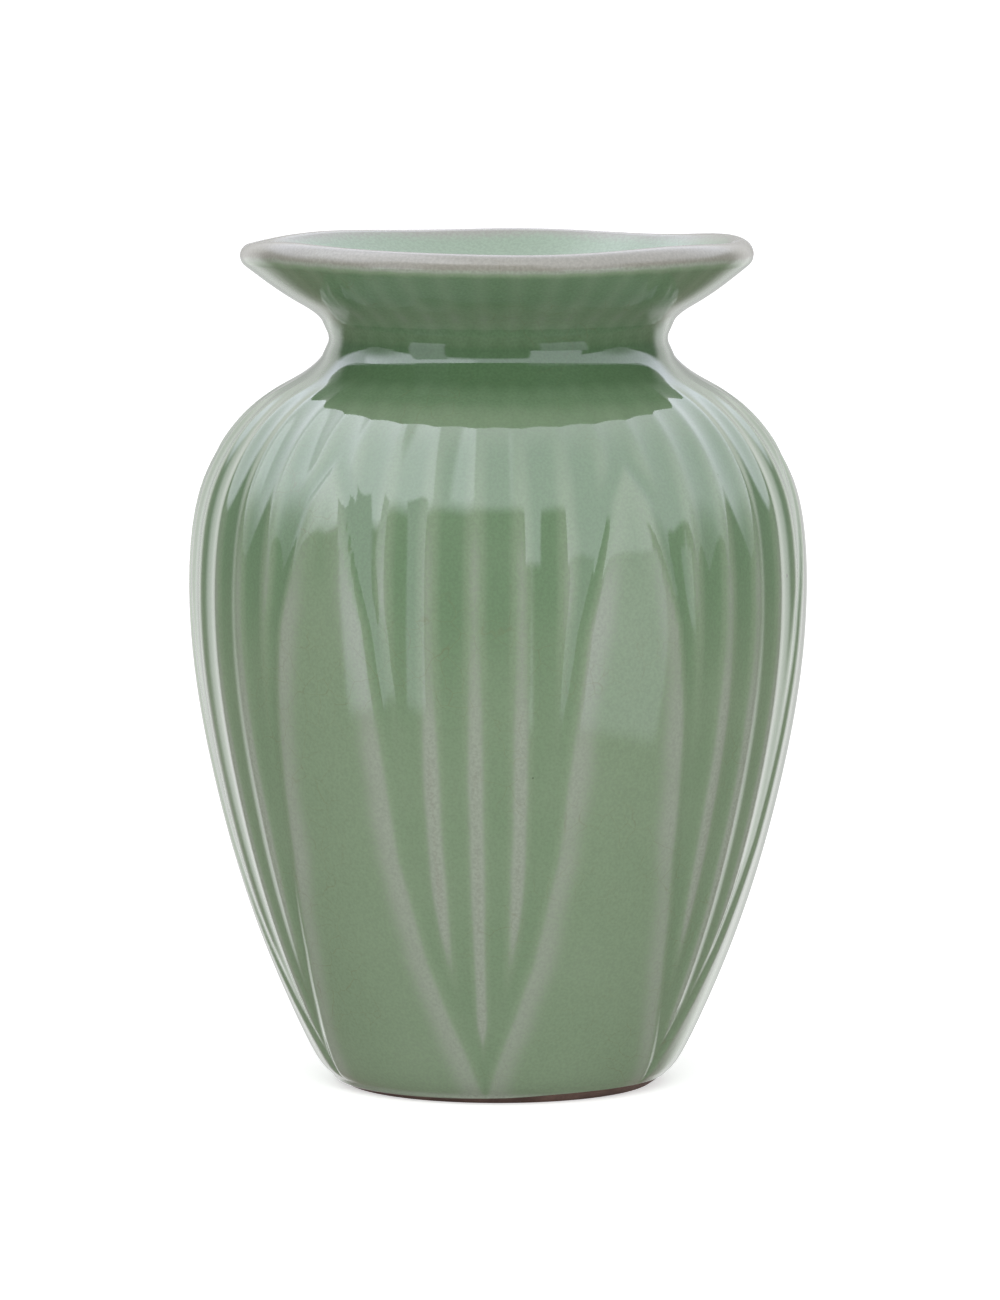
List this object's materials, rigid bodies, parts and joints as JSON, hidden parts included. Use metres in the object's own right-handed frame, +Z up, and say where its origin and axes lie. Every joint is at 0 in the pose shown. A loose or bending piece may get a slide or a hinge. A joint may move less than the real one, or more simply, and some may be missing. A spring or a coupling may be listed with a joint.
{
  "type": "vase",
  "caption": "Carved celadon vase: fluted leaves between plain pointed panels on a full body, with a narrow neck and a wide, gently waved mouth.",
  "frame": {"origin": "centre of the foot ring's standing face, on the surface the vase stands on", "axes": "+Z up the vase's axis, from the foot to the mouth; -Y is the side that one carved leaf faces"},
  "size_m": [0.13, 0.1302, 0.179],
  "materials": {
    "stoneware": "bare iron-bearing stoneware, matt",
    "celadon_outside": "clear glossy celadon, green where it is thick and grey-white over edges",
    "celadon_inside": "clear glossy celadon, even coat"
  },
  "bodies": {
    "root": {"clay_body": "stoneware", "outer_glaze": "celadon_outside", "inner_glaze": "celadon_inside", "base_glaze": "celadon_inside"}
  },
  "joints": []
}
